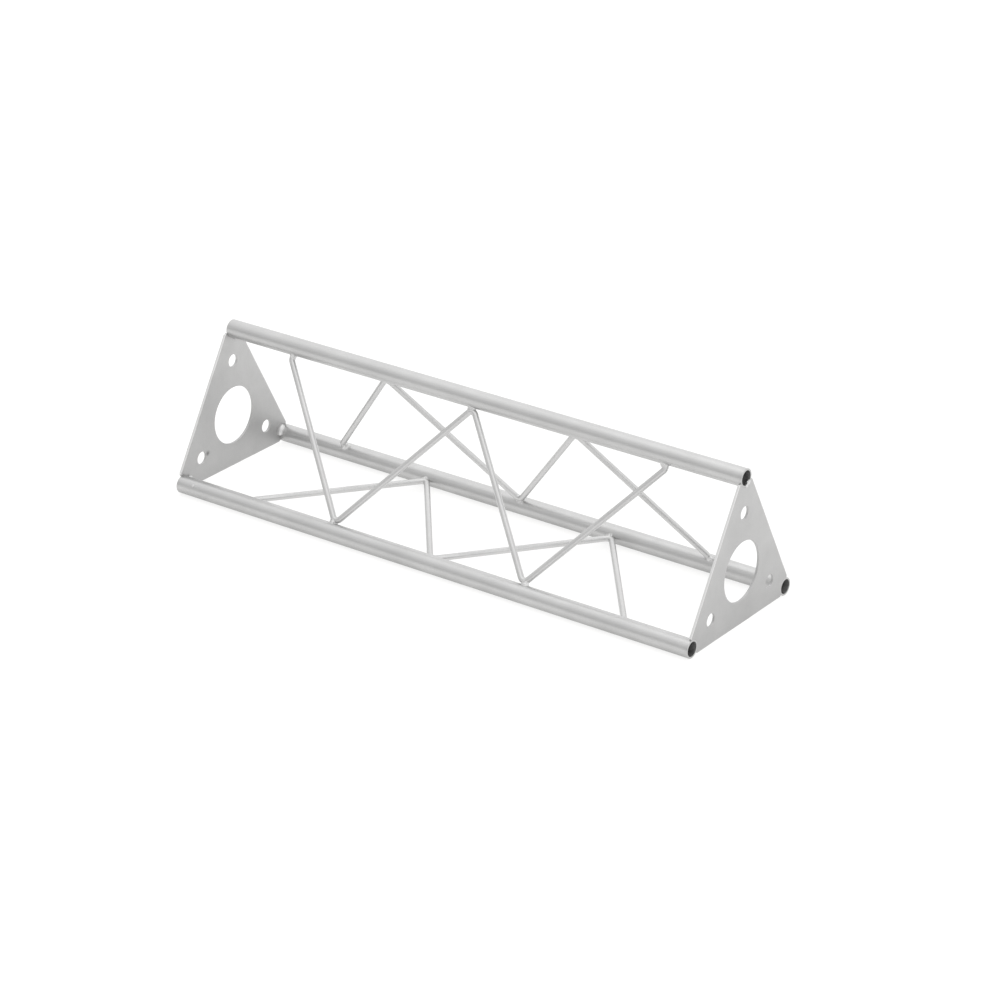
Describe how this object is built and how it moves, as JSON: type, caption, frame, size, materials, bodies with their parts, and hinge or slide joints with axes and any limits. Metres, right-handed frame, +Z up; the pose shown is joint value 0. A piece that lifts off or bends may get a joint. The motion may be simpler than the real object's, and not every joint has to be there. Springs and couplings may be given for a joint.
{
  "type": "lighting truss section",
  "caption": "Short straight triangular lattice truss with tubular chords, zigzag rod lacing and a drilled triangular plate at each end.",
  "frame": {"origin": "mid-length, on the surface that the two lower chords stand on, midway between them", "axes": "+X along the chords towards the right-hand end plate, +Y from the front chord to the back chord, +Z up to the top chord"},
  "size_m": [0.5, 0.15, 0.1319],
  "materials": {
    "silver_coat_tube": "satin silver-grey coat on drawn steel tube",
    "silver_coat_plate": "satin silver-grey coat on flat steel plate",
    "silver_coat_rod": "satin silver-grey coat on bent steel rod",
    "silver_coat_weld": "satin silver-grey coat over rippled weld metal"
  },
  "bodies": {
    "root": {"chord_tube_top": "silver_coat_tube", "chord_tube_front": "silver_coat_tube", "chord_tube_back": "silver_coat_tube", "end_plate_left": "silver_coat_plate", "plate_weld_left_top": "silver_coat_weld", "plate_weld_left_front": "silver_coat_weld", "plate_weld_left_back": "silver_coat_weld", "end_plate_right": "silver_coat_plate", "plate_weld_right_top": "silver_coat_weld", "plate_weld_right_front": "silver_coat_weld", "plate_weld_right_back": "silver_coat_weld", "lacing_rod_front": "silver_coat_rod", "lacing_weld_front_1": "silver_coat_weld", "lacing_weld_front_2": "silver_coat_weld", "lacing_weld_front_3": "silver_coat_weld", "lacing_weld_front_4": "silver_coat_weld", "lacing_weld_front_5": "silver_coat_weld", "lacing_rod_bottom": "silver_coat_rod", "lacing_weld_bottom_1": "silver_coat_weld", "lacing_weld_bottom_2": "silver_coat_weld", "lacing_weld_bottom_3": "silver_coat_weld", "lacing_weld_bottom_4": "silver_coat_weld", "lacing_weld_bottom_5": "silver_coat_weld", "lacing_rod_back": "silver_coat_rod", "lacing_weld_back_1": "silver_coat_weld", "lacing_weld_back_2": "silver_coat_weld", "lacing_weld_back_3": "silver_coat_weld", "lacing_weld_back_4": "silver_coat_weld", "lacing_weld_back_5": "silver_coat_weld"}
  },
  "joints": []
}
